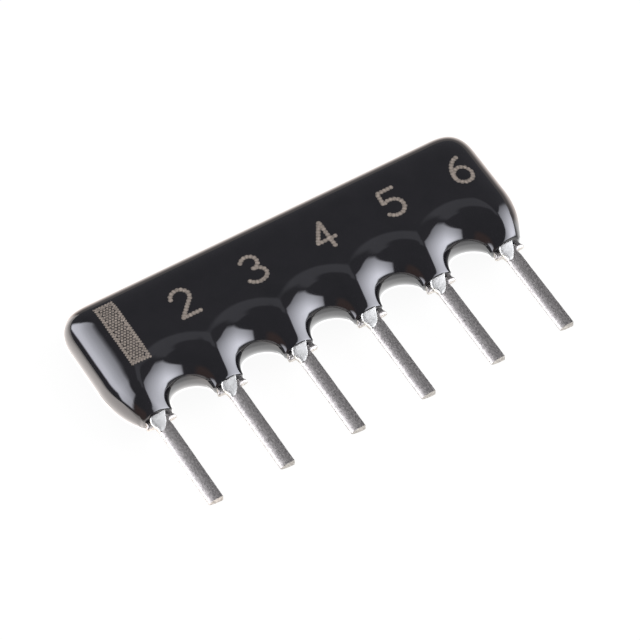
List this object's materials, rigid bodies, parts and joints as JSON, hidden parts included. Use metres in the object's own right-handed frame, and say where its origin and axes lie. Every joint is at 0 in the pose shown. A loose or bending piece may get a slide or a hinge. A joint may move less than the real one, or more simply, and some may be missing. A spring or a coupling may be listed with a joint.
{
  "type": "resistor network",
  "caption": "Single in-line thick-film resistor network in a glossy black dipped body, scalloped between its legs, with a row of flat tinned leads for a circuit board.",
  "frame": {"origin": "middle of the lead row, on the seating plane under the shoulders and in the leads' mid-plane", "axes": "+X along the row away from the marked first lead, +Y from the lead tips to the top edge, +Z out of the marked face; the part lies on its flat back"},
  "size_m": [0.015, 0.0084, 0.002],
  "materials": {
    "black_epoxy": "glossy black dipped epoxy",
    "alumina": "fired white alumina",
    "silver_film": "fired silver conductor film",
    "resistor_film": "fired dark resistor film",
    "glass_glaze": "fired glass overglaze",
    "tinned_strip": "solder-dipped, finely grained",
    "solder": "bright smooth solder"
  },
  "bodies": {
    "root": {"epoxy_coat": "black_epoxy", "ceramic_plate": "alumina", "common_conductor": "silver_film", "overglaze": "glass_glaze", "pad_2": "silver_film", "pad_3": "silver_film", "pad_4": "silver_film", "pad_5": "silver_film", "pad_6": "silver_film", "resistor_1": "resistor_film", "resistor_2": "resistor_film", "resistor_3": "resistor_film", "resistor_4": "resistor_film", "resistor_5": "resistor_film", "terminal_1": "tinned_strip", "terminal_2": "tinned_strip", "terminal_3": "tinned_strip", "terminal_4": "tinned_strip", "terminal_5": "tinned_strip", "terminal_6": "tinned_strip", "solder_joint_1": "solder", "solder_joint_2": "solder", "solder_joint_3": "solder", "solder_joint_4": "solder", "solder_joint_5": "solder", "solder_joint_6": "solder"}
  },
  "joints": []
}
